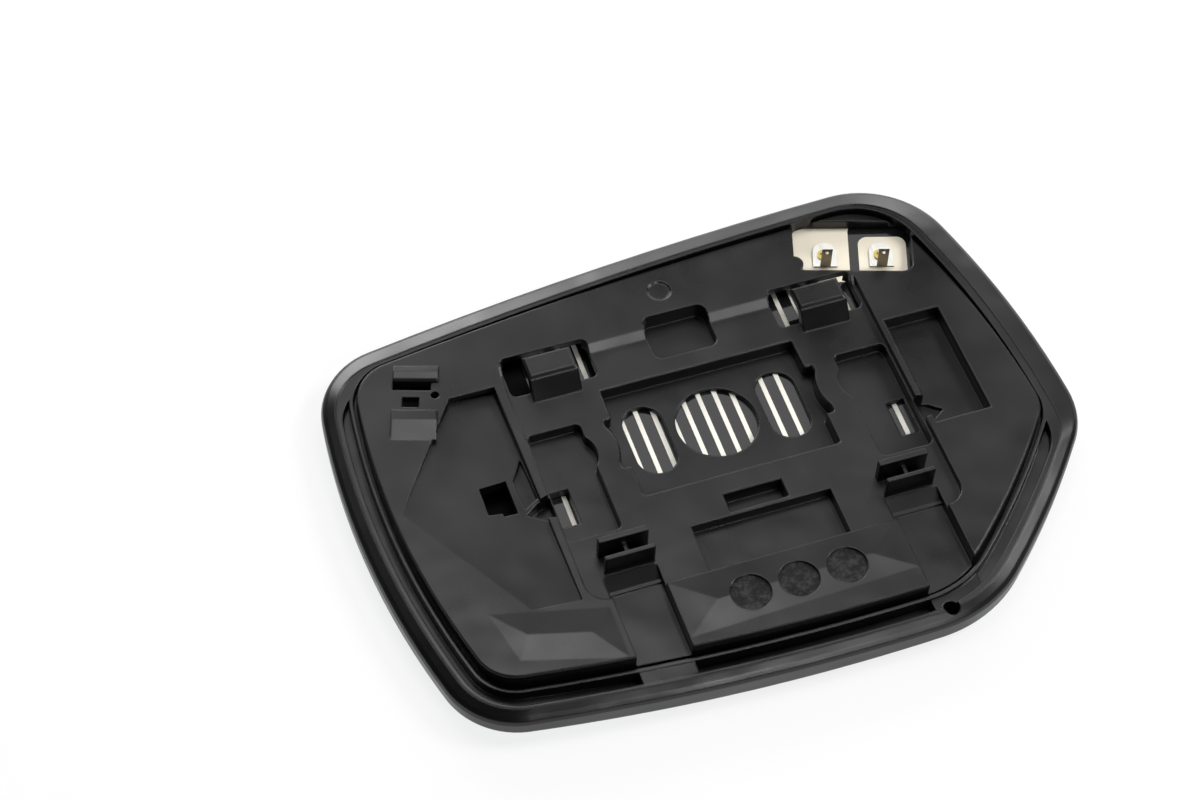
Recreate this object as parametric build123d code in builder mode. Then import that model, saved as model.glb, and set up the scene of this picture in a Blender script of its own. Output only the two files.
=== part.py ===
# Car door mirror glass: heated convex glass in a moulded backing plate, back side up.
# Frame: millimetres, +Z out of the back, z = 0 at the apex of the glass face.
import os
from math import cos, radians, sin, sqrt, tan

from build123d import *

# Glass and layers behind it
face_radius = 1400.0
glass_thickness = 2.0
film_thickness = 0.3
ink_thickness = 0.1
lip_proud = 0.3
lip_width = 1.9
glass_clearance = 0.1
film_inset = 4.5
seat_clearance = 0.02
layer_gap = 0.05

# Actuator axis, seat tilt and the angle of the mould axis
actuator_x = 4.045
actuator_y = 8.389
seat_tilt = 2.3
mould_angle = -18.4
tray_height = 7.9

# Reach of long and wide cuts, start of cuts above a surface, foot of raised features, smallest difference
deep = 20.0
beyond = 150.0
above = 1.0
root = 0.5
tolerance = 0.01

# Outline corners from the actuator axis, corner radii and side bulges, clockwise from top left
outline_corners = [(-87.88, 41.03), (67.48, 53.8), (83.33, -26.88), (41.22, -69.98), (-79.54, -62.32)]
outline_radii = [18.57, 24.41, 19.86, 33.94, 18.91]
outline_bulges = [3.08, 3.84, 2.0, 3.0, 6.93]

# Rim: rounded shoulder as pairs of inset and height, then a flange up to the crest
rim_height = 9.0
shoulder = [(0.0, 6.3), (0.4, 7.3), (1.3, 8.0)]
rib_drop = 0.3
lip_radius = 1.2
lip_reach = 2.0
lip_top = 4.0

# Insets of the ring features on the top, right, lower right, bottom and left sides
crest_insets = [5.0, 6.6, 3.4, 3.0, 3.4]
plateau_insets = [6.2, 8.9, 9.7, 8.8, 8.8]
groove_widths = [0.35, 0.4, 0.9, 0.9, 0.9]
rib_width = 0.9
moat_insets = [9.5, 9.8, 4.9, 3.9, 4.7]

# Plateau, moat and skin
plateau_rise = 1.8
plateau_block = 8.0
moat_floor = 1.4
bridge_depth = 2.2
skin = 1.8
hollow_inset = 11.5

# Tray and central recess
tray_half_width = 46.2
tray_bottom = -42.3
tray_top = 26.0
tray_slope = 1.9
tray_corner = 5.0
recess_half_width = 24.5
recess_top = 14.8
recess_bottom = -16.9
recess_depth = 3.8
notch_depth = 2.1
notch_top = 6.3
notch_bottom = -8.0
notch_bump = 1.3
notch_land = 1.8
recess_corner = 0.6
hole_radius = 10.0
slot_offset = 17.0
slot_width = 10.0
slot_length = 19.8

# Pockets in the tray
side_inner = 32.4
side_outer = 45.6
side_top = 7.3
side_bottom = -24.0
side_depth = 3.0
side_corner = 1.5
side_bulge_radius = 7.0
side_bulge_x = 37.9
side_bulge_y = -1.3
side_window = (40.3, 44.9, -18.0, -7.8)
top_pocket = (-8.7, 7.6, 19.3, 31.2)
top_pocket_depth = 2.8
top_pocket_corner = 2.4
small_pocket = (-7.0, 7.2, -27.3, -22.4)
small_pocket_depth = 4.0
label_pocket_half = 17.3
label_pocket_top = -28.6
label_pocket_depth = 3.0

# Pockets in the plateau
left_pocket = [(-59.9, 22.4), (-48.7, 22.4), (-47.9, -40.6), (-59.4, -39.8), (-79.9, -5.9)]
left_pocket_depth = 2.4
left_hole = [(-60.8, -4.0), (-54.2, -3.5), (-54.2, -13.2), (-57.6, -13.2), (-57.6, -12.3), (-60.9, -11.9)]
gusset = [(-49.0, 1.4), (-52.5, -4.1), (-52.3, -12.6), (-48.6, -10.4)]
gusset_depth = 1.1
nick_floor = -3.0
nick_inner, nick_outer = 45.9, 52.4
nick_bottom, nick_top = -17.6, -10.9
ridge_nick = [
    (nick_outer, -14.4),
    (49.2, -11.9),
    (nick_inner, nick_top),
    (nick_inner, nick_bottom),
    (48.2, -17.2),
]
right_pocket = (48.0, 61.9, -19.4, 12.4)
right_pocket_depth = 3.8
label_half_width = 28.3
channel_outer = 41.2
insert_radius = 4.7
insert_pitch = 11.75
insert_centre = (0.7, -50.7)
mark_depth = 0.15
ring_centre = (-1.3, 38.0)
ring_radius = 3.0
ring_depth = 0.4
drain_centre = (31.9, -66.6)
drain_radius = 1.9
drain_floor = -6.9
hip_rise = 0.5
label_hip = [(-28.0, -42.6), (28.0, -42.6), (28.0, -56.0), (-28.0, -57.6)]
label_ridge = [(-19.0, -50.0), (19.0, -49.6), (19.0, -49.8), (-19.0, -50.2)]
corner_hip = [(-69.0, -38.0), (-42.6, -44.4), (-42.6, -58.2), (-66.0, -51.4)]
corner_ridge = [(-62.6, -45.6), (-48.6, -49.4), (-48.6, -49.6), (-62.6, -45.8)]

# Terminal window in mould axes
window_box = (20.5, 50.1, 42.5, 58.3)
window_corner = 3.0
window_bump = (20.4, 44.5)
window_bump_radius = 2.4

# Upper hooks and their openings
hook_inner = 28.5
hook_outer = 40.6
hook_foot = 16.1
hook_front = 19.9
hook_back = 26.4
hook_top = 5.2
hook_plate = 2.4
hook_break = 0.6
opening_inner = 23.4
opening_outer = 45.2
opening_bottom = 19.2
opening_top = 29.8
opening_corner = 1.6

# Lower hook forks
fork_inner = 28.5
fork_outer = 40.5
fork_height = 6.5
fork_back = (-30.3, -28.8)
fork_tongue = (-35.1, -34.1)
fork_window = (30.0, 39.0, -33.6, -30.8)
fork_rib = (34.0, 35.0)
fork_rib_foot = -1.5
fork_rib_top = 4.0
step_start = -35.6
step_foot = -38.9
step_drop = 1.7
channel_start = -39.7

# Broken edges of the plateau and of the pocket mouths
edge_break = 0.35

# Wire clip in mould axes, with heights above the plateau
clip_left = -77.4
clip_right = -66.6
clip_upper = [(11.9, -root), (11.9, 0.3), (11.2, 1.0), (9.6, 1.2), (7.6, 0.9), (7.0, 0.4), (7.0, -root)]
clip_lower = [(-1.3, -root), (-1.3, 0.8), (-1.8, 1.1), (-4.6, 1.1), (-9.8, 0.0), (-9.8, -root)]
clip_slot = (-77.4, -68.3, 4.8, 7.0)
clip_hole = (-75.0, -71.0, -0.2, 2.7)
clip_notch = (-67.3, 3.4)
clip_notch_radius = 1.0

# Heater film's left edge and the print, with the pads in mould axes
film_edge = [(-39.4, 40.0), (-39.4, 18.0), (-52.6, 4.0), (-52.6, -70.0)]
film_margin = 1.0
stripe_pitch = 4.0
stripe_width = 1.15
stripe_start = -1.35
stripe_count = 19
stripe_overlap = 1.0
left_stripe_end = 38.0
left_bus_end = -30.0
bus_width = 4.0
bus_gap = 2.0
left_pad = (20.5, 34.8, 42.0, 62.0)
right_pad = (37.2, 49.2, 38.0, 55.6)
right_pad_corner = 2.4
right_strip = (40.0, 58.0, 36.0, 42.0)
pad_break_top = 43.0
pad_bay = (39.0, 56.7)
pad_bay_radius = 4.2

# Terminals in mould axes
terminal_u = (28.7, 42.8)
terminal_v = 46.5
terminal_width = 6.0
terminal_length = 7.2
terminal_thickness = 0.4
blade_width = 2.6
blade_height = 7.8
blade_thickness = 0.5
blade_hole = 0.55
blade_hole_drop = 1.6
rivet_place = (-0.45, -0.3)
rivet_radius = 1.45
rivet_bore = 0.75
rivet_height = 0.45

mould_turn = radians(mould_angle)
tilt_slope = tan(radians(seat_tilt))
tilt_x = -sin(mould_turn) * tilt_slope
tilt_y = cos(mould_turn) * tilt_slope
base = Plane(origin=(actuator_x, actuator_y, 0))
seat = Plane(origin=(actuator_x, actuator_y, tray_height), x_dir=(1, 0, -tilt_x), z_dir=(tilt_x, tilt_y, 1))
mould_x = seat.x_dir * cos(mould_turn) + seat.y_dir * sin(mould_turn)
mould = Plane(origin=seat.origin, x_dir=mould_x, z_dir=seat.z_dir)
side = Plane(origin=seat.origin, x_dir=seat.y_dir, z_dir=seat.x_dir)
clip_side = Plane(origin=mould.offset(plateau_rise).origin, x_dir=mould.y_dir, z_dir=mould.x_dir)
back_radius = face_radius - glass_thickness
film_front = back_radius - layer_gap
film_back = film_front - film_thickness
ink_front = film_back - layer_gap
floor_radius = ink_front - ink_thickness


def side_circle(start, end, bulge):
    # Centre and radius of the arc that bulges outwards between two outline corners
    chord = end - start
    radius = chord.length**2 / (8 * bulge) + bulge / 2
    outwards = Vector(-chord.Y, chord.X).normalized()
    return (start + end) / 2 + outwards * (bulge - radius), radius


def corner_centre(before, after, radius, corner):
    # Centre of the arc that rounds the corner between two side arcs
    reach_before = before[1] - radius
    reach_after = after[1] - radius
    apart = after[0] - before[0]
    along = (reach_before**2 - reach_after**2 + apart.length**2) / (2 * apart.length)
    across = sqrt(reach_before**2 - along**2)
    foot = before[0] + apart.normalized() * along
    normal = Vector(-apart.Y, apart.X).normalized()
    return min((foot + normal * across, foot - normal * across), key=lambda point: (point - corner).length)


def outline(plane, insets):
    # Outline of the mirror drawn from the actuator axis, each side moved inwards by its inset
    corners = [Vector(*corner) for corner in outline_corners]
    count = len(corners)
    sides = []
    for i in range(count):
        centre, radius = side_circle(corners[i], corners[(i + 1) % count], outline_bulges[i])
        sides.append((centre, radius - insets[i]))
    radii = [outline_radii[i] - (insets[i - 1] + insets[i]) / 2 for i in range(count)]
    centres = [corner_centre(sides[i - 1], sides[i], radii[i], corners[i]) for i in range(count)]

    def on_side(number, towards):
        centre, radius = sides[number]
        return centre + (towards - centre).normalized() * radius

    with BuildSketch(plane) as shape:
        with BuildLine():
            for i in range(count):
                entry = on_side(i - 1, centres[i])
                leave = on_side(i, centres[i])
                following = on_side(i, centres[(i + 1) % count])
                halfway = ((entry + leave) / 2 - centres[i]).normalized()
                ThreePointArc(entry, centres[i] + halfway * radii[i], leave)
                ThreePointArc(leave, on_side(i, (leave + following) / 2), following)
        make_face()
    return shape.sketch


def even(inset):
    # The same inset on every side
    return [inset] * len(outline_corners)


def widened(insets, widths):
    # Insets of a ring's outer edge, a given width outside its inner edge on each side
    return [inset - width for inset, width in zip(insets, widths)]


def box(plane, limits, corner=0.0):
    # Rectangle from its limits (x low, x high, y low, y high)
    low_x, high_x, low_y, high_y = limits
    with BuildSketch(plane) as shape:
        with Locations(((low_x + high_x) / 2, (low_y + high_y) / 2)):
            if corner > 0:
                RectangleRounded(high_x - low_x, high_y - low_y, corner)
            else:
                Rectangle(high_x - low_x, high_y - low_y)
    return shape.sketch


def polygon(plane, points):
    with BuildSketch(plane) as shape:
        with BuildLine():
            Polyline(*points, close=True)
        make_face()
    return shape.sketch


def dome(radius):
    # Everything behind a sphere concentric with the glass face, with its poles far from the glass
    with BuildPart() as ball:
        with Locations((0, 0, face_radius)):
            Sphere(radius, rotation=(0, -90, 0))
    return ball.part


def grown(limits, amount):
    low_x, high_x, low_y, high_y = limits
    return (low_x - amount, high_x + amount, low_y - amount, high_y + amount)


def turned(u, v):
    # From mould axes to plate axes
    return (u * cos(mould_turn) - v * sin(mould_turn), u * sin(mould_turn) + v * cos(mould_turn))


def turned_box(limits):
    low_u, high_u, low_v, high_v = limits
    return [turned(low_u, low_v), turned(high_u, low_v), turned(high_u, high_v), turned(low_u, high_v)]


def level_edges(builder, level):
    # Edges made by the last cut that lie on one level of the seat
    made = builder.edges(Select.LAST)
    return made.filter_by(lambda e: abs(seat.to_local_coords(e.center()).Z - level) < tolerance)


def film_area(plane, margin):
    # Outline of the heater film, drawn in by a margin
    kept = [(x + margin, y) for x, y in film_edge]
    with BuildSketch(plane) as shape:
        add(outline(Plane.XY, even(film_inset + margin)))
        cover = [*kept, (beyond, kept[-1][1]), (beyond, beyond), (kept[0][0], beyond)]
        add(polygon(Plane.XY, cover), mode=Mode.INTERSECT)
    return shape.sketch


def mirrored(limits, hand):
    low_x, high_x, low_y, high_y = limits
    return (min(hand * low_x, hand * high_x), max(hand * low_x, hand * high_x), low_y, high_y)


def fixed_plane(u, v):
    # Plane on the printed pad, tangent to the layers, with x along the mould axis
    point = mould.from_local_coords(Vector(u, v, 0))
    height = face_radius - sqrt(floor_radius**2 - point.X**2 - point.Y**2)
    normal = Vector(-point.X, -point.Y, face_radius - height)
    return Plane(origin=(point.X, point.Y, height + seat_clearance), x_dir=mould.x_dir, z_dir=normal)


os.makedirs("parts", exist_ok=True)

behind_lip = dome(face_radius + lip_proud)
behind_face = dome(face_radius)
behind_glass = dome(back_radius)
film_start = dome(film_front)
behind_film = dome(film_back)
ink_start = dome(ink_front)
behind_ink = dome(floor_radius)
behind_floor = dome(floor_radius - seat_clearance)
behind_moat = dome(back_radius - moat_floor)

# Mirror glass: convex sheet inside the lip
with BuildPart() as mirror_glass:
    extrude(outline(base, even(lip_width)), amount=deep)
    add(behind_face, mode=Mode.INTERSECT)
    add(behind_glass, mode=Mode.SUBTRACT)
mirror_glass.part.label = "mirror_glass"
export_step(mirror_glass.part, "parts/mirror_glass.step")

# Heater film on the back of the glass, cut short on the left
with BuildPart() as heater_film:
    extrude(film_area(base, 0), amount=deep)
    add(film_start, mode=Mode.INTERSECT)
    add(behind_film, mode=Mode.SUBTRACT)
heater_film.part.label = "heater_film"
export_step(heater_film.part, "parts/heater_film.step")

# Grooves around the plateau: a narrow one beside it and a moat beyond the rib, which runs out at both ends
groove_insets = widened(plateau_insets, groove_widths)
rib_insets = widened(groove_insets, even(rib_width))
with BuildPart() as basin:
    extrude(outline(base, groove_insets), amount=deep)
    add(behind_moat, mode=Mode.INTERSECT)
with BuildPart() as moat:
    with BuildSketch(base):
        add(outline(Plane.XY, moat_insets))
        add(outline(Plane.XY, rib_insets), mode=Mode.SUBTRACT)
    extrude(amount=deep)
    add(behind_moat, mode=Mode.INTERSECT)
    for hand in (-1, 1):
        bridge = mirrored((label_half_width, channel_outer, -beyond, channel_start), hand)
        extrude(box(seat.offset(-bridge_depth), bridge), amount=-deep, mode=Mode.SUBTRACT)

# Plateau with its broken edge
with BuildPart() as plateau:
    extrude(outline(seat.offset(plateau_rise), plateau_insets), amount=-plateau_block)
    chamfer(level_edges(plateau, plateau_rise), edge_break)
    for foot, ridge in ((label_hip, label_ridge), (corner_hip, corner_ridge)):
        hip_foot = polygon(seat.offset(plateau_rise), foot)
        loft([hip_foot, polygon(seat.offset(plateau_rise + hip_rise), ridge)], ruled=True)

# Channels from the tray to the groove, with a sloped step at the tray end
with BuildPart() as channels:
    channel_profile = [
        (step_start, deep),
        (step_start, 0),
        (step_foot, -step_drop),
        (channel_start, -step_drop),
        (channel_start, -bridge_depth),
        (-beyond, -bridge_depth),
        (-beyond, deep),
    ]
    for start in (label_half_width, -channel_outer):
        extrude(polygon(side.offset(start), channel_profile), amount=channel_outer - label_half_width)
    extrude(outline(seat.offset(-deep), plateau_insets), amount=2 * deep, mode=Mode.INTERSECT)

# Left outer pocket: floor falling from a crease towards the tray
crease_low = seat.from_local_coords(Vector(*left_pocket[3], plateau_rise))
crease_high = seat.from_local_coords(Vector(*left_pocket[4], plateau_rise))
floor_low = seat.from_local_coords(Vector(*left_pocket[1], plateau_rise - left_pocket_depth))
crease = crease_high - crease_low
left_floor = Plane(origin=crease_low, x_dir=crease, z_dir=(floor_low - crease_low).cross(crease))
with BuildPart() as left_cut:
    extrude(polygon(seat.offset(plateau_rise + above), left_pocket), amount=-deep)
    split(bisect_by=left_floor, keep=Keep.TOP)

# Gusset beside the left ridge: a second step down, level with the pocket floor
with BuildPart() as gusset_cut:
    extrude(polygon(seat.offset(plateau_rise), gusset), amount=-deep)
    split(bisect_by=left_floor.offset(-gusset_depth), keep=Keep.TOP)

# Hollow underside: everything behind the heater except the skin and the pocket walls
with BuildPart() as hollow:
    extrude(outline(seat.offset(plateau_rise - skin), even(hollow_inset)), amount=-deep)
    tray_limits = (-tray_half_width, tray_half_width, tray_bottom, tray_top + tray_slope)
    tray_block = box(seat.offset(plateau_rise), grown(tray_limits, skin))
    extrude(tray_block, amount=-plateau_rise - skin, mode=Mode.SUBTRACT)
    left_block = polygon(seat.offset(plateau_rise), left_pocket)
    extrude(left_block, amount=-left_pocket_depth - skin, mode=Mode.SUBTRACT)
    recess_limits = (
        -recess_half_width - notch_depth,
        recess_half_width + notch_depth,
        recess_bottom,
        recess_top,
    )
    label_limits = (-label_pocket_half, label_pocket_half, tray_bottom, label_pocket_top)
    solid_blocks = [recess_limits, top_pocket, small_pocket, label_limits, right_pocket]
    for hand in (-1, 1):
        solid_blocks.append(mirrored((side_inner, side_outer, side_bottom, side_top), hand))
        solid_blocks.append(mirrored((label_half_width, channel_outer, -beyond, step_start), hand))
        solid_blocks.append(mirrored((nick_inner, nick_outer, nick_bottom, nick_top), hand))
    for limits in solid_blocks:
        extrude(box(seat.offset(plateau_rise), grown(limits, skin)), amount=-deep, mode=Mode.SUBTRACT)

# Room for the glass and for the heater film
with BuildPart() as glass_room:
    extrude(outline(base.offset(-deep), even(lip_width - glass_clearance)), amount=2 * deep)
    add(behind_glass, mode=Mode.SUBTRACT)
with BuildPart() as film_room:
    extrude(outline(base.offset(-deep), even(film_inset - glass_clearance)), amount=2 * deep)
    add(behind_floor, mode=Mode.SUBTRACT)

# Upper hook posts: leaning front, plate that overhangs the opening, broken edges
hook_profile = [
    (hook_foot, -root),
    (hook_foot, 0),
    (hook_front, hook_top),
    (hook_back, hook_top),
    (hook_back, hook_top - hook_plate),
    (opening_bottom + hook_plate * (hook_front - hook_foot) / hook_top, hook_top - hook_plate),
    (opening_bottom, 0),
    (opening_bottom, -root),
]
hooks = []
for start in (hook_inner, -hook_outer):
    with BuildPart() as hook:
        extrude(polygon(side.offset(start), hook_profile), amount=hook_outer - hook_inner)
        chamfer(level_edges(hook, hook_top), hook_break)
    hooks.append(hook.part)

# Backing plate: rim, solid down to the lip, rounded shoulder, flange up to the crest
with BuildPart() as backing_plate:
    sections = [outline(base.offset(height), even(inset)) for inset, height in shoulder]
    sections.append(outline(base.offset(rim_height), crest_insets))
    extrude(sections[0], amount=-shoulder[0][1] - lip_reach)
    for lower, upper in zip(sections, sections[1:]):
        loft([lower, upper], ruled=True)
    add(behind_lip, mode=Mode.INTERSECT)
    fillet(backing_plate.edges().filter_by(lambda e: e.center().Z < lip_top), lip_radius)
    extrude(outline(base.offset(rim_height - rib_drop), crest_insets), amount=deep, mode=Mode.SUBTRACT)
    # Plateau inside its groove, the rib around it and the moat
    add(basin.part, mode=Mode.SUBTRACT)
    add(plateau.part)
    add(moat.part, mode=Mode.SUBTRACT)
    # Pockets in the plateau
    add(left_cut.part, mode=Mode.SUBTRACT)
    add(gusset_cut.part, mode=Mode.SUBTRACT)
    extrude(box(seat.offset(plateau_rise), right_pocket), amount=-right_pocket_depth, mode=Mode.SUBTRACT)
    chamfer(level_edges(backing_plate, plateau_rise), edge_break)
    # Tray with its sloped top side
    with BuildSketch(seat.offset(plateau_rise)) as tray:
        add(box(Plane.XY, (-tray_half_width, tray_half_width, tray_bottom, tray_top)))
        fillet(tray.sketch_local.vertices().group_by(Axis.Y)[0], tray_corner)
    extrude(amount=-plateau_rise, mode=Mode.SUBTRACT)
    slope_profile = [
        (tray_top - above, 0),
        (tray_top, 0),
        (tray_top + tray_slope, plateau_rise),
        (tray_top + tray_slope, plateau_rise + above),
        (tray_top - above, plateau_rise + above),
    ]
    extrude(polygon(side, slope_profile), amount=tray_half_width, both=True, mode=Mode.SUBTRACT)
    # Central recess with a bump in each side notch
    notch_wall = recess_half_width + notch_depth
    with BuildSketch(seat) as recess:
        with BuildLine():
            Polyline(
                (0, recess_top),
                (recess_half_width, recess_top),
                (recess_half_width, notch_top),
                (notch_wall, notch_top),
                (notch_wall, notch_top - notch_land),
            )
            ThreePointArc(
                (notch_wall, notch_top - notch_land),
                (notch_wall - notch_bump, (notch_top + notch_bottom) / 2),
                (notch_wall, notch_bottom + notch_land),
            )
            Polyline(
                (notch_wall, notch_bottom + notch_land),
                (notch_wall, notch_bottom),
                (recess_half_width, notch_bottom),
                (recess_half_width, recess_bottom),
                (0, recess_bottom),
            )
            mirror(about=Plane.YZ)
        make_face()
        corners = recess.sketch_local.vertices().filter_by(lambda p: abs(p.X) > tolerance)
        fillet(corners, recess_corner)
    extrude(amount=-recess_depth, mode=Mode.SUBTRACT)
    chamfer(level_edges(backing_plate, 0), edge_break)
    # Pockets in the tray
    for hand in (-1, 1):
        with BuildSketch(seat):
            add(box(Plane.XY, mirrored((side_inner, side_outer, side_bottom, side_top), hand), side_corner))
            with Locations((hand * side_bulge_x, side_bulge_y)):
                Circle(side_bulge_radius)
        extrude(amount=-side_depth, mode=Mode.SUBTRACT)
    extrude(box(seat, small_pocket), amount=-small_pocket_depth, mode=Mode.SUBTRACT)
    chamfer(level_edges(backing_plate, 0), edge_break)
    extrude(box(seat, label_limits), amount=-label_pocket_depth, mode=Mode.SUBTRACT)
    top_pocket_cut = box(seat.offset(-top_pocket_depth), top_pocket, top_pocket_corner)
    extrude(top_pocket_cut, amount=deep, mode=Mode.SUBTRACT)
    add(channels.part, mode=Mode.SUBTRACT)
    # Underside
    add(hollow.part, mode=Mode.SUBTRACT)
    add(glass_room.part, mode=Mode.SUBTRACT)
    add(film_room.part, mode=Mode.SUBTRACT)
    # Holes and windows through the skin
    through = seat.offset(plateau_rise + above)
    with BuildSketch(through):
        Circle(hole_radius)
        with Locations((-slot_offset, 0), (slot_offset, 0)):
            SlotOverall(slot_length, slot_width, rotation=90)
        add(polygon(Plane.XY, left_hole))
        for hand in (-1, 1):
            add(box(Plane.XY, mirrored(side_window, hand)))
            add(box(Plane.XY, mirrored(fork_window, hand)))
            opening = mirrored((opening_inner, opening_outer, opening_bottom, opening_top), hand)
            add(box(Plane.XY, opening, opening_corner))
    extrude(amount=-deep, mode=Mode.SUBTRACT)
    with BuildSketch(mould.offset(plateau_rise + above)):
        add(box(Plane.XY, window_box, window_corner))
        with Locations(window_bump):
            Circle(window_bump_radius, mode=Mode.SUBTRACT)
        add(box(Plane.XY, clip_slot))
        add(box(Plane.XY, clip_hole))
        with Locations(clip_notch):
            Circle(clip_notch_radius)
    extrude(amount=-deep, mode=Mode.SUBTRACT)
    for hand in (-1, 1):
        nick = [(hand * x, y) for x, y in ridge_nick]
        extrude(polygon(seat.offset(nick_floor), nick), amount=deep, mode=Mode.SUBTRACT)
    # Shallow marks and the drain
    with BuildSketch(seat.offset(plateau_rise + hip_rise)):
        for step in (-1, 0, 1):
            with Locations((insert_centre[0] + step * insert_pitch, insert_centre[1])):
                Circle(insert_radius)
    extrude(amount=-hip_rise - mark_depth, mode=Mode.SUBTRACT)
    with BuildSketch(seat.offset(plateau_rise)):
        with Locations(ring_centre):
            Circle(ring_radius)
    extrude(amount=-ring_depth, taper=45, mode=Mode.SUBTRACT)
    with BuildSketch(seat.offset(drain_floor)):
        with Locations(drain_centre):
            Circle(drain_radius)
    extrude(amount=deep, mode=Mode.SUBTRACT)
    # Hooks and forks
    for hook_part in hooks:
        add(hook_part)
    for hand in (-1, 1):
        for limits in (fork_back, fork_tongue):
            wall = mirrored((fork_inner, fork_outer, *limits), hand)
            extrude(box(seat.offset(-root), wall), amount=fork_height + root)
        rib = mirrored((*fork_rib, fork_tongue[0], fork_back[1]), hand)
        extrude(box(seat.offset(fork_rib_foot), rib), amount=fork_rib_top - fork_rib_foot)
    # Wire clip: two raised blocks, the lower one with a ramp
    for profile in (clip_upper, clip_lower):
        extrude(polygon(clip_side.offset(clip_left), profile), amount=clip_right - clip_left)
backing_plate.part.label = "backing_plate"
export_step(backing_plate.part, "parts/backing_plate.step")

# Heater print: two interlocking combs on the film, each with a bus bar and a contact pad
bus_edge = film_margin + bus_width
comb_edge = bus_edge + bus_gap
stripe_numbers = range(-stripe_count, stripe_count)
upper_side = (-beyond, beyond, 0, beyond)
lower_side = (-beyond, beyond, -beyond, 0)
above_right_pad = turned_box((right_pad[0], beyond, pad_break_top, beyond))
beside_left_pad = turned_box((left_pad[0] - bus_gap, right_pad[0], left_pad[2] - bus_gap, beyond))
with BuildSketch() as left_bus:
    add(film_area(Plane.XY, film_margin))
    add(film_area(Plane.XY, bus_edge), mode=Mode.SUBTRACT)
    add(box(Plane.XY, (-beyond, beyond, -beyond, left_bus_end)), mode=Mode.SUBTRACT)
    add(polygon(Plane.XY, turned_box((left_pad[1], beyond, -beyond, beyond))), mode=Mode.SUBTRACT)
with BuildSketch() as left_contact:
    add(polygon(Plane.XY, turned_box(left_pad)))
    add(polygon(Plane.XY, turned_box((left_pad[1], pad_bay[0], pad_bay[1], left_pad[3]))))
    with Locations(turned(*pad_bay)):
        Circle(pad_bay_radius, mode=Mode.SUBTRACT)
    add(film_area(Plane.XY, film_margin), mode=Mode.INTERSECT)
with BuildSketch() as left_zone:
    add(film_area(Plane.XY, film_margin + stripe_overlap))
    add(box(Plane.XY, lower_side), mode=Mode.SUBTRACT)
    add(film_area(Plane.XY, comb_edge))
with BuildSketch() as right_bus:
    add(film_area(Plane.XY, film_margin))
    add(film_area(Plane.XY, bus_edge), mode=Mode.SUBTRACT)
    add(box(Plane.XY, (-beyond, 0, left_bus_end - bus_gap, beyond)), mode=Mode.SUBTRACT)
    add(polygon(Plane.XY, turned_box((-beyond, right_pad[0], 0, beyond))), mode=Mode.SUBTRACT)
    add(polygon(Plane.XY, above_right_pad), mode=Mode.SUBTRACT)
with BuildSketch() as right_contact:
    with Locations(turned((right_pad[0] + right_pad[1]) / 2, (right_pad[2] + right_pad[3]) / 2)):
        pad_size = (right_pad[1] - right_pad[0], right_pad[3] - right_pad[2])
        RectangleRounded(*pad_size, right_pad_corner, rotation=mould_angle)
    add(polygon(Plane.XY, turned_box(right_strip)))
with BuildSketch() as right_zone:
    add(film_area(Plane.XY, film_margin + stripe_overlap))
    add(box(Plane.XY, upper_side), mode=Mode.SUBTRACT)
    add(film_area(Plane.XY, comb_edge))
    add(polygon(Plane.XY, beside_left_pad), mode=Mode.SUBTRACT)
    add(polygon(Plane.XY, above_right_pad), mode=Mode.SUBTRACT)

with BuildPart() as heater_electrode_left:
    with BuildSketch(base):
        for number in stripe_numbers:
            x = stripe_start + stripe_pitch * number
            if number % 2 == 0 and x < left_stripe_end:
                add(box(Plane.XY, (x - stripe_width / 2, x + stripe_width / 2, -beyond, beyond)))
        add(left_zone.sketch, mode=Mode.INTERSECT)
        add(left_bus.sketch)
        add(left_contact.sketch)
    extrude(amount=deep)
    add(ink_start, mode=Mode.INTERSECT)
    add(behind_ink, mode=Mode.SUBTRACT)
heater_electrode_left.part.label = "heater_electrode_left"
export_step(heater_electrode_left.part, "parts/heater_electrode_left.step")

with BuildPart() as heater_electrode_right:
    with BuildSketch(base):
        for number in stripe_numbers:
            x = stripe_start + stripe_pitch * number
            if number % 2 == 1:
                add(box(Plane.XY, (x - stripe_width / 2, x + stripe_width / 2, -beyond, beyond)))
        add(right_zone.sketch, mode=Mode.INTERSECT)
        add(right_bus.sketch)
        add(right_contact.sketch)
    extrude(amount=deep)
    add(ink_start, mode=Mode.INTERSECT)
    add(behind_ink, mode=Mode.SUBTRACT)
heater_electrode_right.part.label = "heater_electrode_right"
export_step(heater_electrode_right.part, "parts/heater_electrode_right.step")

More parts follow.
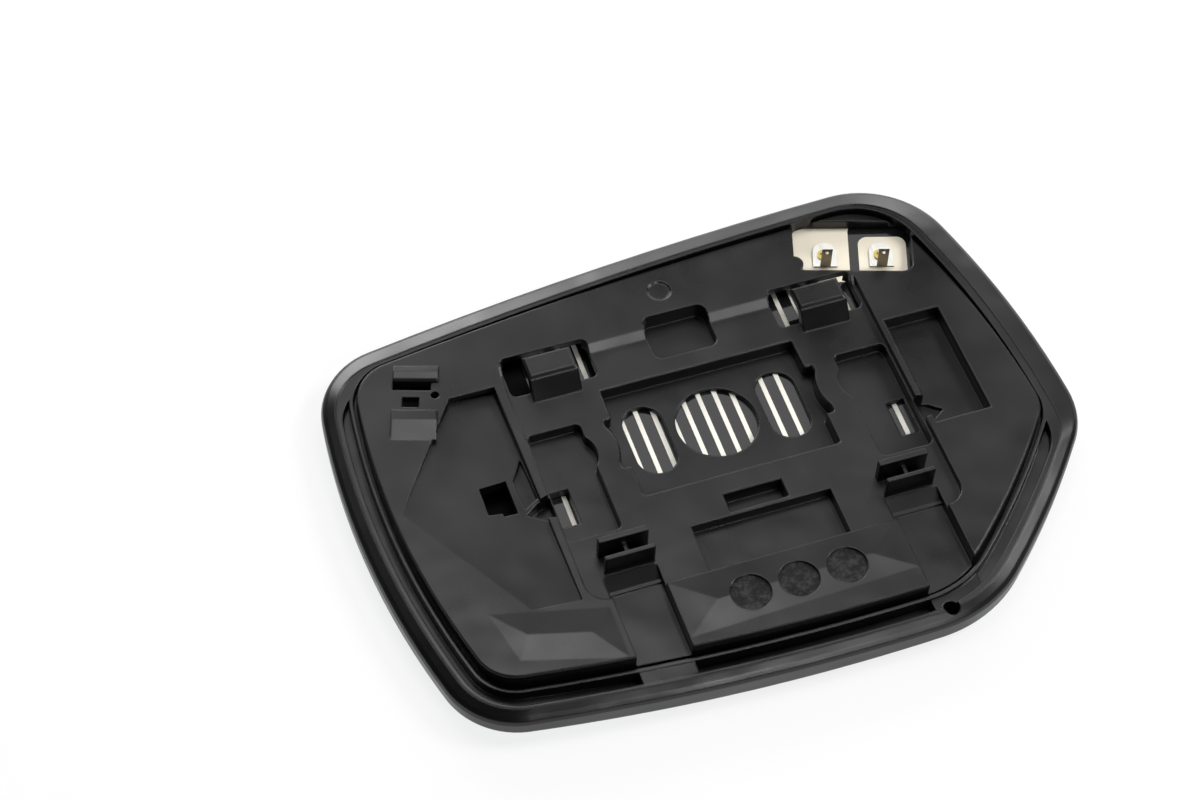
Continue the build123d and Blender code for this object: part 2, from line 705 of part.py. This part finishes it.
# Blade terminals: flat base with a round back, blade folded up at the front, held by an eyelet
base_front = -terminal_length / 2
arch_y = terminal_length / 2 - terminal_width / 2
shank_radius = (rivet_radius + rivet_bore) / 2
for name, u in zip(("left", "right"), terminal_u):
    pad = fixed_plane(u, terminal_v + terminal_length / 2)
    with BuildPart() as terminal:
        with BuildSketch(pad):
            add(box(Plane.XY, (-terminal_width / 2, terminal_width / 2, base_front, arch_y)))
            with Locations((0, arch_y)):
                Circle(terminal_width / 2)
            with Locations(rivet_place):
                Circle(shank_radius, mode=Mode.SUBTRACT)
        extrude(amount=terminal_thickness)
        blade = (-blade_width / 2, blade_width / 2, base_front, base_front + blade_thickness)
        extrude(box(pad, blade), amount=blade_height)
        hole_point = pad.from_local_coords(Vector(0, base_front, blade_height - blade_hole_drop))
        blade_side = Plane(origin=hole_point, x_dir=pad.x_dir, z_dir=pad.y_dir)
        with BuildSketch(blade_side):
            Circle(blade_hole)
        extrude(amount=blade_thickness + above, both=True, mode=Mode.SUBTRACT)
    terminal.part.label = f"terminal_{name}"
    export_step(terminal.part, f"parts/terminal_{name}.step")
    with BuildPart() as rivet:
        for radius, low, high in (
            (shank_radius, 0, terminal_thickness),
            (rivet_radius, terminal_thickness, terminal_thickness + rivet_height),
        ):
            with BuildSketch(pad.offset(low)):
                with Locations(rivet_place):
                    Circle(radius)
                    Circle(rivet_bore, mode=Mode.SUBTRACT)
            extrude(amount=high - low)
    rivet.part.label = f"rivet_{name}"
    export_step(rivet.part, f"parts/rivet_{name}.step")
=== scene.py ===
"""Heated door mirror glass, lying on its glass face with the moulded back towards the camera."""

from math import radians

import bpy
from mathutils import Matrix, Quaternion, Vector

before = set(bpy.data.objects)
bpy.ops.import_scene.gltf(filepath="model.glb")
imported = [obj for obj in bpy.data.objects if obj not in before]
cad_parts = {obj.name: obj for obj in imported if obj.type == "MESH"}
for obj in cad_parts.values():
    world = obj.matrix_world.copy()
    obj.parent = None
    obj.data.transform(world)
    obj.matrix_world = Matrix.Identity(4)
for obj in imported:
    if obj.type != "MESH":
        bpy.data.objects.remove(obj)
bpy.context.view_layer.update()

bl_info = {
    "name": "Door Mirror Glass",
    "version": (1, 1, 0),
    "blender": (4, 5, 0),
    "location": "View3D > Sidebar > Mirror Glass",
    "description": "Finishes and stage for a heated door mirror glass with its moulded backing plate",
    "category": "Object",
}

MM = 0.001
PANEL_TAB = "Mirror Glass"
POLYPROPYLENE_IOR = 1.49
# Distance after which a wave texture of scale 1 repeats
WAVE_PERIOD = 0.314
# Least height of a face's normal where the face looks up or down, and where it lies almost flat
LEVEL_FACE = 0.5
FLAT_FACE = 0.9
# Half the width of the floor in metres, and the width of the camera's sensor in millimetres
FLOOR_REACH = 4.0
SENSOR_WIDTH = 36.0
NEAREST_SEEN = 10.0 * MM
WHITE = "#ffffff"
# Share of the floor's white that glows, where the rest takes the shadow
GLOWING_SHARE = 0.8


# Colour and node helpers


def linear(hex_colour):
    """Linear RGBA of an sRGB colour written as #rrggbb."""
    values = [int(hex_colour[i : i + 2], 16) / 255 for i in (1, 3, 5)]
    return [v / 12.92 if v <= 0.04045 else ((v + 0.055) / 1.055) ** 2.4 for v in values] + [1.0]


def shade(colour, factor):
    """The same colour made darker or lighter."""
    return [min(1.0, c * factor) for c in colour[:3]] + [1.0]


def add_node(tree, kind, settings=None, links=None):
    """Adds one node, sets its properties or input defaults, and links its inputs."""
    node = tree.nodes.new(kind)
    for name, value in (settings or {}).items():
        if isinstance(name, str) and hasattr(node, name):
            setattr(node, name, value)
        else:
            node.inputs[name].default_value = value
    for name, socket in (links or {}).items():
        tree.links.new(socket, node.inputs[name])
    return node


def new_material(name):
    """An empty node material with its output node."""
    material = bpy.data.materials.new(name)
    material.use_nodes = True
    material.node_tree.nodes.clear()
    return material, material.node_tree, add_node(material.node_tree, "ShaderNodeOutputMaterial")


def dress(node_names, *materials):
    """Gives CAD nodes these materials, with the first one on every face."""
    for name in node_names:
        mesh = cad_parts[name].data
        mesh.materials.clear()
        for material in materials:
            mesh.materials.append(material)


# Sizes and colours that a user would change


class PlateSettings(bpy.types.PropertyGroup):
    """Plastic of the backing plate and the places of its three rough discs"""

    plastic: bpy.props.FloatVectorProperty(
        name="Plastic",
        description="Colour of the moulded plate",
        subtype="COLOR",
        size=4,
        min=0.0,
        max=1.0,
        default=linear("#0e0e0f"),
    )
    insert: bpy.props.FloatVectorProperty(
        name="Insert",
        description="Colour of the rough discs left by the mould's inserts",
        subtype="COLOR",
        size=4,
        min=0.0,
        max=1.0,
        default=linear("#0d0d0d"),
    )
    grain: bpy.props.FloatProperty(
        name="Grain",
        description="Size of the spark-eroded grain",
        unit="LENGTH",
        precision=5,
        default=0.35 * MM,
    )
    grain_depth: bpy.props.FloatProperty(
        name="Grain Depth",
        description="Depth of the grain",
        unit="LENGTH",
        precision=5,
        default=0.02 * MM,
    )
    sink: bpy.props.FloatProperty(
        name="Sink",
        description="Width of the shallow sink marks",
        unit="LENGTH",
        precision=5,
        default=14.0 * MM,
    )
    sink_depth: bpy.props.FloatProperty(
        name="Sink Depth",
        description="Depth of the sink marks",
        unit="LENGTH",
        precision=5,
        default=0.4 * MM,
    )
    cloud: bpy.props.FloatProperty(
        name="Cloud",
        description="Width of the patches of sheen",
        unit="LENGTH",
        precision=5,
        default=24.0 * MM,
    )
    edge: bpy.props.FloatProperty(
        name="Edge",
        description="Rounding of the moulded edges",
        unit="LENGTH",
        precision=5,
        default=0.6 * MM,
    )
    pits: bpy.props.FloatProperty(
        name="Pits",
        description="Size of the pits in the discs",
        unit="LENGTH",
        precision=5,
        default=1.75 * MM,
    )
    pit_depth: bpy.props.FloatProperty(
        name="Pit Depth",
        description="Depth of those pits",
        unit="LENGTH",
        precision=5,
        default=0.3 * MM,
    )
    insert_place: bpy.props.FloatVectorProperty(
        name="Insert Place",
        description="Middle of the centre disc",
        subtype="TRANSLATION",
        unit="LENGTH",
        size=2,
        precision=5,
        default=(4.79 * MM, -42.2 * MM),
    )
    insert_pitch: bpy.props.FloatProperty(
        name="Insert Pitch",
        description="From disc to disc",
        unit="LENGTH",
        precision=5,
        default=11.75 * MM,
    )
    insert_radius: bpy.props.FloatProperty(
        name="Insert Radius",
        description="Radius of a disc",
        unit="LENGTH",
        precision=5,
        default=4.7 * MM,
    )


class HeaterSettings(bpy.types.PropertyGroup):
    """Carrier film and silver print of the heater"""

    film: bpy.props.FloatVectorProperty(
        name="Film",
        description="Colour of the carrier film",
        subtype="COLOR",
        size=4,
        min=0.0,
        max=1.0,
        default=linear("#1c1c1e"),
    )
    ink: bpy.props.FloatVectorProperty(
        name="Ink",
        description="Colour of the silver print",
        subtype="COLOR",
        size=4,
        min=0.0,
        max=1.0,
        default=linear("#f8f5ea"),
    )
    pad: bpy.props.FloatVectorProperty(
        name="Pad",
        description="Colour of the print at the contact pads",
        subtype="COLOR",
        size=4,
        min=0.0,
        max=1.0,
        default=linear("#f4ebd6"),
    )
    hatch: bpy.props.FloatProperty(
        name="Hatch",
        description="Spacing of the film's fine hatch",
        unit="LENGTH",
        precision=5,
        default=0.7 * MM,
    )
    mesh: bpy.props.FloatProperty(
        name="Mesh",
        description="Size of the screen's marks in the print",
        unit="LENGTH",
        precision=5,
        default=0.5 * MM,
    )
    mesh_depth: bpy.props.FloatProperty(
        name="Mesh Depth",
        description="Depth of those marks",
        unit="LENGTH",
        precision=5,
        default=0.02 * MM,
    )
    pad_place: bpy.props.FloatVectorProperty(
        name="Pad Place",
        description="Point between the two contact pads",
        subtype="TRANSLATION",
        unit="LENGTH",
        size=3,
        precision=5,
        default=(54.0 * MM, 45.0 * MM, 4.0 * MM),
    )
    pad_reach: bpy.props.FloatProperty(
        name="Pad Reach",
        description="Reach of the pads' colour",
        unit="LENGTH",
        precision=5,
        default=20.0 * MM,
    )


class MetalSettings(bpy.types.PropertyGroup):
    """Strip metal of the terminals and the eyelets"""

    tin: bpy.props.FloatVectorProperty(
        name="Tin",
        description="Colour of the tin plating",
        subtype="COLOR",
        size=4,
        min=0.0,
        max=1.0,
        default=linear("#f3f2ec"),
    )
    # The blade colour is painted shade: a darker copy of the tin that stands in for the shade and dark
    # reflections on the upright faces
    blade: bpy.props.FloatVectorProperty(
        name="Blade",
        description="Colour of the upright blades, duller than the bases",
        subtype="COLOR",
        size=4,
        min=0.0,
        max=1.0,
        default=linear("#7f7768"),
    )
    brass: bpy.props.FloatVectorProperty(
        name="Brass",
        description="Colour of the eyelets",
        subtype="COLOR",
        size=4,
        min=0.0,
        max=1.0,
        default=linear("#dcc56e"),
    )
    streak: bpy.props.FloatProperty(
        name="Streak",
        description="Width of the rolling streaks",
        unit="LENGTH",
        precision=5,
        default=0.35 * MM,
    )
    streak_length: bpy.props.FloatProperty(
        name="Streak Length",
        description="Length of the streaks",
        unit="LENGTH",
        precision=5,
        default=6.0 * MM,
    )


class GlassSettings(bpy.types.PropertyGroup):
    """Face, back and edge of the mirror glass"""

    tint: bpy.props.FloatVectorProperty(
        name="Tint",
        description="Colour of the mirror",
        subtype="COLOR",
        size=4,
        min=0.0,
        max=1.0,
        default=linear("#7cc6ec"),
    )
    backing: bpy.props.FloatVectorProperty(
        name="Backing",
        description="Colour of the back paint",
        subtype="COLOR",
        size=4,
        min=0.0,
        max=1.0,
        default=linear("#020204"),
    )
    edge: bpy.props.FloatVectorProperty(
        name="Edge",
        description="Colour of the ground edge",
        subtype="COLOR",
        size=4,
        min=0.0,
        max=1.0,
        default=linear("#6f8f92"),
    )
    cloud: bpy.props.FloatProperty(
        name="Cloud",
        description="Width of the coating's clouds",
        unit="LENGTH",
        precision=5,
        default=60.0 * MM,
    )
    speckle: bpy.props.FloatProperty(
        name="Speckle",
        description="Size of the speckle",
        unit="LENGTH",
        precision=5,
        default=0.8 * MM,
    )


class StageSettings(bpy.types.PropertyGroup):
    """Camera, floor and lamps"""

    camera: bpy.props.FloatVectorProperty(
        name="Camera",
        description="Place of the camera",
        subtype="TRANSLATION",
        unit="LENGTH",
        size=3,
        precision=5,
        default=(-0.14839, -0.30949, 0.52872),
    )
    aim: bpy.props.FloatVectorProperty(
        name="Aim",
        description="Point in the middle of the picture",
        subtype="TRANSLATION",
        unit="LENGTH",
        size=3,
        precision=5,
        default=(-0.02147, 0.02041, 0.008),
    )
    roll: bpy.props.FloatProperty(
        name="Roll",
        description="Turn of the camera about its axis",
        subtype="ANGLE",
        default=radians(2.53),
    )
    lens: bpy.props.FloatProperty(name="Lens", description="Focal length", unit="CAMERA", default=79.23)
    floor: bpy.props.FloatVectorProperty(
        name="Floor",
        description="Colour of the floor",
        subtype="COLOR",
        size=4,
        min=0.0,
        max=1.0,
        default=linear(WHITE),
    )
    overhead: bpy.props.FloatProperty(
        name="Overhead",
        description="Power of the softbox above, a little behind",
        unit="POWER",
        default=4.0,
    )
    canopy: bpy.props.FloatProperty(
        name="Canopy",
        description="Power of the large panel above and behind",
        unit="POWER",
        default=3.5,
    )
    key: bpy.props.FloatProperty(
        name="Key", description="Power of the small softbox behind", unit="POWER", default=5.6
    )
    side: bpy.props.FloatProperty(
        name="Side", description="Power of the softbox on the right", unit="POWER", default=8.5
    )
    low: bpy.props.FloatProperty(
        name="Low", description="Power of the low panel behind", unit="POWER", default=9.0
    )
    corner: bpy.props.FloatProperty(
        name="Corner",
        description="Power of the softbox behind on the right",
        unit="POWER",
        default=1.2,
    )
    front: bpy.props.FloatProperty(
        name="Front", description="Power of the softbox in front", unit="POWER", default=3.8
    )
    room: bpy.props.FloatProperty(
        name="Room",
        description="Brightness of the room around",
        subtype="FACTOR",
        min=0.0,
        default=0.04,
    )


# Materials


def moulded_polypropylene(settings):
    """Black polypropylene, injection moulded in a lightly spark-eroded tool: satin and slightly grey.

    Its edges are soft, and it has shallow sink marks and slow patches of sheen.
    """
    material, tree, output = new_material("moulded_polypropylene")
    place = add_node(tree, "ShaderNodeTexCoord")
    cloud = add_node(
        tree,
        "ShaderNodeTexNoise",
        {"Scale": 1 / settings.cloud, "Detail": 3.0},
        {"Vector": place.outputs["Object"]},
    )
    tone = add_node(tree, "ShaderNodeValToRGB", links={"Fac": cloud.outputs["Fac"]})
    dark, light = tone.color_ramp.elements
    dark.position = 0.3
    dark.color = shade(settings.plastic, 0.9)
    light.position = 0.7
    light.color = shade(settings.plastic, 1.1)
    sheen = add_node(
        tree,
        "ShaderNodeMapRange",
        {"From Min": 0.3, "From Max": 0.7, "To Min": 0.24, "To Max": 0.36},
        {"Value": cloud.outputs["Fac"]},
    )
    # Such a grain is typically about 0.1 mm, and is drawn coarser so that it shows
    grit = add_node(
        tree,
        "ShaderNodeTexNoise",
        {"Scale": 1 / settings.grain, "Detail": 2.0},
        {"Vector": place.outputs["Object"]},
    )
    rounding = add_node(tree, "ShaderNodeBevel", {"samples": 6, "Radius": settings.edge})
    sink = add_node(
        tree,
        "ShaderNodeTexNoise",
        {"Scale": 1 / settings.sink, "Detail": 1.0},
        {"Vector": place.outputs["Object"]},
    )
    wave = add_node(
        tree,
        "ShaderNodeBump",
        {"Strength": 1.0, "Distance": settings.sink_depth},
        {"Height": sink.outputs["Fac"], "Normal": rounding.outputs["Normal"]},
    )
    bump = add_node(
        tree,
        "ShaderNodeBump",
        {"Strength": 0.08, "Distance": settings.grain_depth},
        {"Height": grit.outputs["Fac"], "Normal": wave.outputs["Normal"]},
    )
    shader = add_node(
        tree,
        "ShaderNodeBsdfPrincipled",
        {"IOR": POLYPROPYLENE_IOR},
        {
            "Base Color": tone.outputs["Color"],
            "Roughness": sheen.outputs["Result"],
            "Normal": bump.outputs["Normal"],
        },
    )
    tree.links.new(shader.outputs["BSDF"], output.inputs["Surface"])
    return material


def eroded_polypropylene(settings):
    """The same plastic against a rough mould insert: darker and matt, mottled by a coarse grain."""
    material, tree, output = new_material("eroded_polypropylene")
    place = add_node(tree, "ShaderNodeTexCoord")
    grit = add_node(
        tree,
        "ShaderNodeTexNoise",
        {"Scale": 1 / settings.pits, "Detail": 4.0, "Roughness": 0.7},
        {"Vector": place.outputs["Object"]},
    )
    tone = add_node(tree, "ShaderNodeValToRGB", links={"Fac": grit.outputs["Fac"]})
    dark, light = tone.color_ramp.elements
    dark.position = 0.44
    dark.color = shade(settings.insert, 0.5)
    light.position = 0.62
    light.color = shade(settings.insert, 7.0)
    bump = add_node(
        tree,
        "ShaderNodeBump",
        {"Strength": 0.8, "Distance": settings.pit_depth},
        {"Height": grit.outputs["Fac"]},
    )
    shader = add_node(
        tree,
        "ShaderNodeBsdfPrincipled",
        {"IOR": POLYPROPYLENE_IOR, "Roughness": 0.5, "Specular IOR Level": 0.18},
        {"Base Color": tone.outputs["Color"], "Normal": bump.outputs["Normal"]},
    )
    tree.links.new(shader.outputs["BSDF"], output.inputs["Surface"])
    return material


def polyester_film(settings):
    """Dark grey polyester film, cast smooth under a clear layer: glossy, mirroring walls and lamps."""
    material, tree, output = new_material("polyester_film")
    place = add_node(tree, "ShaderNodeTexCoord")
    # The hatch in the film is finer than half a millimetre, and is drawn coarser so that it shows
    hatch = add_node(
        tree,
        "ShaderNodeTexWave",
        {
            "bands_direction": "DIAGONAL",
            "Scale": WAVE_PERIOD / settings.hatch,
            "Distortion": 0.4,
            "Detail": 2.0,
        },
        {"Vector": place.outputs["Object"]},
    )
    tone = add_node(tree, "ShaderNodeValToRGB", links={"Fac": hatch.outputs["Fac"]})
    dark, light = tone.color_ramp.elements
    dark.position = 0.2
    dark.color = shade(settings.film, 0.8)
    light.position = 0.8
    light.color = shade(settings.film, 1.2)
    shader = add_node(
        tree,
        "ShaderNodeBsdfPrincipled",
        {"IOR": 1.6, "Roughness": 0.1, "Coat Weight": 1.0, "Coat IOR": 1.5, "Coat Roughness": 0.05},
        {"Base Color": tone.outputs["Color"]},
    )
    tree.links.new(shader.outputs["BSDF"], output.inputs["Surface"])
    return material


def silver_ink(settings):
    """Silver paste, screen printed: pale and matt, creamier around the contact pads."""
    material, tree, output = new_material("silver_ink")
    place = add_node(tree, "ShaderNodeTexCoord")
    # The screen's marks are typically about 0.1 mm, and are drawn coarser so that they show
    screen = add_node(
        tree,
        "ShaderNodeTexNoise",
        {"Scale": 1 / settings.mesh, "Detail": 2.0},
        {"Vector": place.outputs["Object"]},
    )
    away = add_node(
        tree,
        "ShaderNodeVectorMath",
        {"operation": "DISTANCE", 1: settings.pad_place},
        {0: place.outputs["Object"]},
    )
    # The pads' colour fades out over the last fifth of its reach
    reach = add_node(
        tree,
        "ShaderNodeMapRange",
        {"From Min": 0.8 * settings.pad_reach, "From Max": settings.pad_reach},
        {"Value": away.outputs["Value"]},
    )
    # The print takes the creamier pad colour towards the pad place
    tone = add_node(tree, "ShaderNodeValToRGB", links={"Fac": reach.outputs["Result"]})
    near, far = tone.color_ramp.elements
    near.color = settings.pad
    far.color = settings.ink
    bump = add_node(
        tree,
        "ShaderNodeBump",
        {"Strength": 0.2, "Distance": settings.mesh_depth},
        {"Height": screen.outputs["Fac"]},
    )
    shader = add_node(
        tree,
        "ShaderNodeBsdfPrincipled",
        {"Roughness": 0.5},
        {"Base Color": tone.outputs["Color"], "Normal": bump.outputs["Normal"]},
    )
    tree.links.new(shader.outputs["BSDF"], output.inputs["Surface"])
    return material


def rolled_strip(name, colour, settings):
    """Rolled metal strip, blanked and formed: bright, with fine streaks along the rolling."""
    material, tree, output = new_material(name)
    place = add_node(tree, "ShaderNodeTexCoord")
    # Rolling streaks are typically hair fine, and are drawn coarser so that they show
    across = 1 / settings.streak
    along = 1 / settings.streak_length
    stretch = add_node(
        tree, "ShaderNodeMapping", {"Scale": (across, along, along)}, {"Vector": place.outputs["Object"]}
    )
    streak = add_node(
        tree, "ShaderNodeTexNoise", {"Scale": 1.0, "Detail": 3.0}, {"Vector": stretch.outputs["Vector"]}
    )
    rough = add_node(
        tree, "ShaderNodeMapRange", {"To Min": 0.22, "To Max": 0.38}, {"Value": streak.outputs["Fac"]}
    )
    tone = add_node(tree, "ShaderNodeValToRGB", links={"Fac": streak.outputs["Fac"]})
    dark, light = tone.color_ramp.elements
    dark.color = shade(colour, 0.9)
    light.color = colour
    shader = add_node(
        tree,
        "ShaderNodeBsdfPrincipled",
        {"Metallic": 1.0},
        {"Base Color": tone.outputs["Color"], "Roughness": rough.outputs["Result"]},
    )
    tree.links.new(shader.outputs["BSDF"], output.inputs["Surface"])
    return material


def blue_mirror_glass(settings):
    """Float glass with a sputtered blue mirror coating: a sharp, tinted reflection with faint clouds."""
    material, tree, output = new_material("blue_mirror_glass")
    place = add_node(tree, "ShaderNodeTexCoord")
    cloud = add_node(
        tree,
        "ShaderNodeTexNoise",
        {"Scale": 1 / settings.cloud, "Detail": 1.0},
        {"Vector": place.outputs["Object"]},
    )
    tone = add_node(tree, "ShaderNodeValToRGB", links={"Fac": cloud.outputs["Fac"]})
    dark, light = tone.color_ramp.elements
    dark.color = shade(settings.tint, 0.93)
    light.color = settings.tint
    shader = add_node(
        tree,
        "ShaderNodeBsdfPrincipled",
        {"Metallic": 1.0, "Roughness": 0.03, "Coat Weight": 1.0},
        {"Base Color": tone.outputs["Color"]},
    )
    tree.links.new(shader.outputs["BSDF"], output.inputs["Surface"])
    return material


def speckled_matt(name, colour, settings, roughness):
    """Sprayed back paint or ground glass: matt, one tone with a fine speckle."""
    material, tree, output = new_material(name)
    place = add_node(tree, "ShaderNodeTexCoord")
    # Such a speckle is typically about 0.1 mm, and is drawn coarser so that it shows
    speckle = add_node(
        tree,
        "ShaderNodeTexNoise",
        {"Scale": 1 / settings.speckle, "Detail": 2.0},
        {"Vector": place.outputs["Object"]},
    )
    tone = add_node(tree, "ShaderNodeValToRGB", links={"Fac": speckle.outputs["Fac"]})
    dark, light = tone.color_ramp.elements
    dark.color = shade(colour, 0.9)
    light.color = colour
    shader = add_node(
        tree,
        "ShaderNodeBsdfPrincipled",
        {"Roughness": roughness, "Specular IOR Level": 0.1},
        {"Base Color": tone.outputs["Color"]},
    )
    tree.links.new(shader.outputs["BSDF"], output.inputs["Surface"])
    return material


def studio_paper(colour):
    """Seamless white paper, matt: white to the camera and in reflections, with part of the shadow."""
    material, tree, output = new_material("studio_paper")
    rays = add_node(tree, "ShaderNodeLightPath")
    diffuse = add_node(tree, "ShaderNodeBsdfDiffuse", {"Color": colour})
    glow = add_node(tree, "ShaderNodeEmission", {"Color": colour, "Strength": 1.0})
    mirrored = add_node(
        tree,
        "ShaderNodeMath",
        {"operation": "MAXIMUM"},
        {0: rays.outputs["Is Glossy Ray"], 1: rays.outputs["Is Transmission Ray"]},
    )
    seen = add_node(
        tree,
        "ShaderNodeMath",
        {"operation": "MAXIMUM"},
        {0: rays.outputs["Is Camera Ray"], 1: mirrored.outputs["Value"]},
    )
    share = add_node(
        tree, "ShaderNodeMath", {"operation": "MULTIPLY", 1: GLOWING_SHARE}, {0: seen.outputs["Value"]}
    )
    mix = add_node(
        tree,
        "ShaderNodeMixShader",
        links={0: share.outputs["Value"], 1: diffuse.outputs["BSDF"], 2: glow.outputs["Emission"]},
    )
    tree.links.new(mix.outputs["Shader"], output.inputs["Surface"])
    return material


# Operators, one for each piece or group of like pieces


class MIRROR_OT_backing_plate(bpy.types.Operator):
    """Finishes the moulded backing plate and the rough discs on it"""

    bl_idname = "mirror_glass.backing_plate"
    bl_label = "Backing Plate"

    def execute(self, context):
        settings = context.scene.mirror_plate
        dress(["backing_plate"], moulded_polypropylene(settings), eroded_polypropylene(settings))
        middle = Vector(settings.insert_place)
        step = Vector((settings.insert_pitch, 0.0))
        discs = [middle - step, middle, middle + step]
        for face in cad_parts["backing_plate"].data.polygons:
            inside = any((face.center.xy - disc).length < settings.insert_radius for disc in discs)
            face.material_index = 1 if inside and face.normal.z > FLAT_FACE else 0
        return {"FINISHED"}


class MIRROR_OT_glass(bpy.types.Operator):
    """Finishes the mirror glass: blue face, painted back, ground edge"""

    bl_idname = "mirror_glass.glass"
    bl_label = "Glass"

    def execute(self, context):
        settings = context.scene.mirror_glass
        back = speckled_matt("mirror_back_paint", settings.backing, settings, roughness=0.6)
        edge = speckled_matt("ground_glass", settings.edge, settings, roughness=0.35)
        dress(["mirror_glass"], blue_mirror_glass(settings), back, edge)
        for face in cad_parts["mirror_glass"].data.polygons:
            rise = face.normal.z
            face.material_index = 0 if rise < -LEVEL_FACE else 1 if rise > LEVEL_FACE else 2
        return {"FINISHED"}


class MIRROR_OT_heater(bpy.types.Operator):
    """Finishes the heater film and its printed combs"""

    bl_idname = "mirror_glass.heater"
    bl_label = "Heater"

    def execute(self, context):
        settings = context.scene.mirror_heater
        dress(["heater_film"], polyester_film(settings))
        dress(["heater_electrode_left", "heater_electrode_right"], silver_ink(settings))
        return {"FINISHED"}


class MIRROR_OT_terminals(bpy.types.Operator):
    """Finishes the blade terminals and their eyelets"""

    bl_idname = "mirror_glass.terminals"
    bl_label = "Terminals"

    def execute(self, context):
        settings = context.scene.mirror_metal
        tin = rolled_strip("tin_plated_brass", settings.tin, settings)
        # Upright faces take this darker copy of the tin, a painted shade and painted reflection; level
        # faces keep the bright tin
        blade = rolled_strip("tin_painted_shade", settings.blade, settings)
        brass = rolled_strip("bare_brass", settings.brass, settings)
        dress(["terminal_left", "terminal_right"], tin, blade)
        for name in ("terminal_left", "terminal_right"):
            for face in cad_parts[name].data.polygons:
                face.material_index = 0 if abs(face.normal.z) > LEVEL_FACE else 1
        dress(["rivet_left", "rivet_right"], brass)
        return {"FINISHED"}


class MIRROR_OT_stage(bpy.types.Operator):
    """Sets the floor, the soft lights and the camera"""

    bl_idname = "mirror_glass.stage"
    bl_label = "Stage"

    def execute(self, context):
        settings = context.scene.mirror_stage
        scene = context.scene
        scene.view_settings.view_transform = "Standard"
        self.floor(scene, settings)
        self.lights(scene, settings)
        self.camera(scene, settings)
        return {"FINISHED"}

    def floor(self, scene, settings):
        """One large white sheet under the part"""
        reach = FLOOR_REACH
        mesh = bpy.data.meshes.new("floor")
        corners = [(-reach, -reach, 0), (reach, -reach, 0), (reach, reach, 0), (-reach, reach, 0)]
        mesh.from_pydata(corners, [], [(0, 1, 2, 3)])
        mesh.materials.append(studio_paper(settings.floor))
        floor = bpy.data.objects.new("floor", mesh)
        scene.collection.objects.link(floor)

    def lights(self, scene, settings):
        """Softboxes and panels that all aim at the part, and a dim white room"""
        # Name, place, width and height in metres, power in watts
        lamps = [
            ("overhead_softbox", (0.15, 0.36, 1.28), (0.8, 0.5), settings.overhead),
            ("canopy", (-0.22, 0.66, 1.18), (1.3, 1.1), settings.canopy),
            ("key_softbox", (-0.12, 1.22, 0.58), (0.6, 0.3), settings.key),
            ("low_panel", (0.45, 1.25, 0.46), (2.2, 0.45), settings.low),
            ("side_softbox", (0.95, 0.0, 0.95), (0.4, 0.4), settings.side),
            ("corner_softbox", (0.71, 0.99, 0.68), (0.3, 0.3), settings.corner),
            ("front_softbox", (0.3, -0.9, 0.9), (0.5, 0.24), settings.front),
        ]
        for name, place, size, power in lamps:
            lamp = bpy.data.lights.new(name, "AREA")
            lamp.shape = "RECTANGLE"
            lamp.size, lamp.size_y = size
            lamp.energy = power
            holder = bpy.data.objects.new(name, lamp)
            holder.location = place
            holder.rotation_mode = "QUATERNION"
            holder.rotation_quaternion = (-Vector(place)).to_track_quat("-Z", "Y")
            scene.collection.objects.link(holder)
        world = bpy.data.worlds.new("studio")
        world.use_nodes = True
        background = world.node_tree.nodes["Background"]
        background.inputs["Color"].default_value = linear(WHITE)
        background.inputs["Strength"].default_value = settings.room
        scene.world = world

    def camera(self, scene, settings):
        """Camera that looks down on the back of the plate"""
        data = bpy.data.cameras.new("camera")
        data.lens = settings.lens
        data.sensor_width = SENSOR_WIDTH
        data.clip_start = NEAREST_SEEN
        holder = bpy.data.objects.new("camera", data)
        holder.location = settings.camera
        level = (Vector(settings.aim) - Vector(settings.camera)).to_track_quat("-Z", "Y")
        holder.rotation_mode = "QUATERNION"
        holder.rotation_quaternion = level @ Quaternion((0, 0, 1), settings.roll)
        scene.collection.objects.link(holder)
        scene.camera = holder


class MIRROR_PT_panel(bpy.types.Panel):
    """Lists the operators in the order in which they run"""

    bl_label = PANEL_TAB
    bl_idname = "MIRROR_PT_panel"
    bl_space_type = "VIEW_3D"
    bl_region_type = "UI"
    bl_category = PANEL_TAB

    def draw(self, context):
        for operator in OPERATORS:
            self.layout.operator(operator.bl_idname)


SETTINGS = {
    "mirror_plate": PlateSettings,
    "mirror_glass": GlassSettings,
    "mirror_heater": HeaterSettings,
    "mirror_metal": MetalSettings,
    "mirror_stage": StageSettings,
}
OPERATORS = [
    MIRROR_OT_backing_plate,
    MIRROR_OT_glass,
    MIRROR_OT_heater,
    MIRROR_OT_terminals,
    MIRROR_OT_stage,
]
CLASSES = [*SETTINGS.values(), *OPERATORS, MIRROR_PT_panel]


def register():
    """Registers the classes and hangs the settings on the scene."""
    for cls in CLASSES:
        bpy.utils.register_class(cls)
    for name, cls in SETTINGS.items():
        setattr(bpy.types.Scene, name, bpy.props.PointerProperty(type=cls))


def unregister():
    """Takes the settings and the classes away again."""
    for name in SETTINGS:
        delattr(bpy.types.Scene, name)
    for cls in reversed(CLASSES):
        bpy.utils.unregister_class(cls)


def main():
    register()
    bpy.ops.mirror_glass.backing_plate()
    bpy.ops.mirror_glass.glass()
    bpy.ops.mirror_glass.heater()
    bpy.ops.mirror_glass.terminals()
    bpy.ops.mirror_glass.stage()


if __name__ == "__main__":
    main()
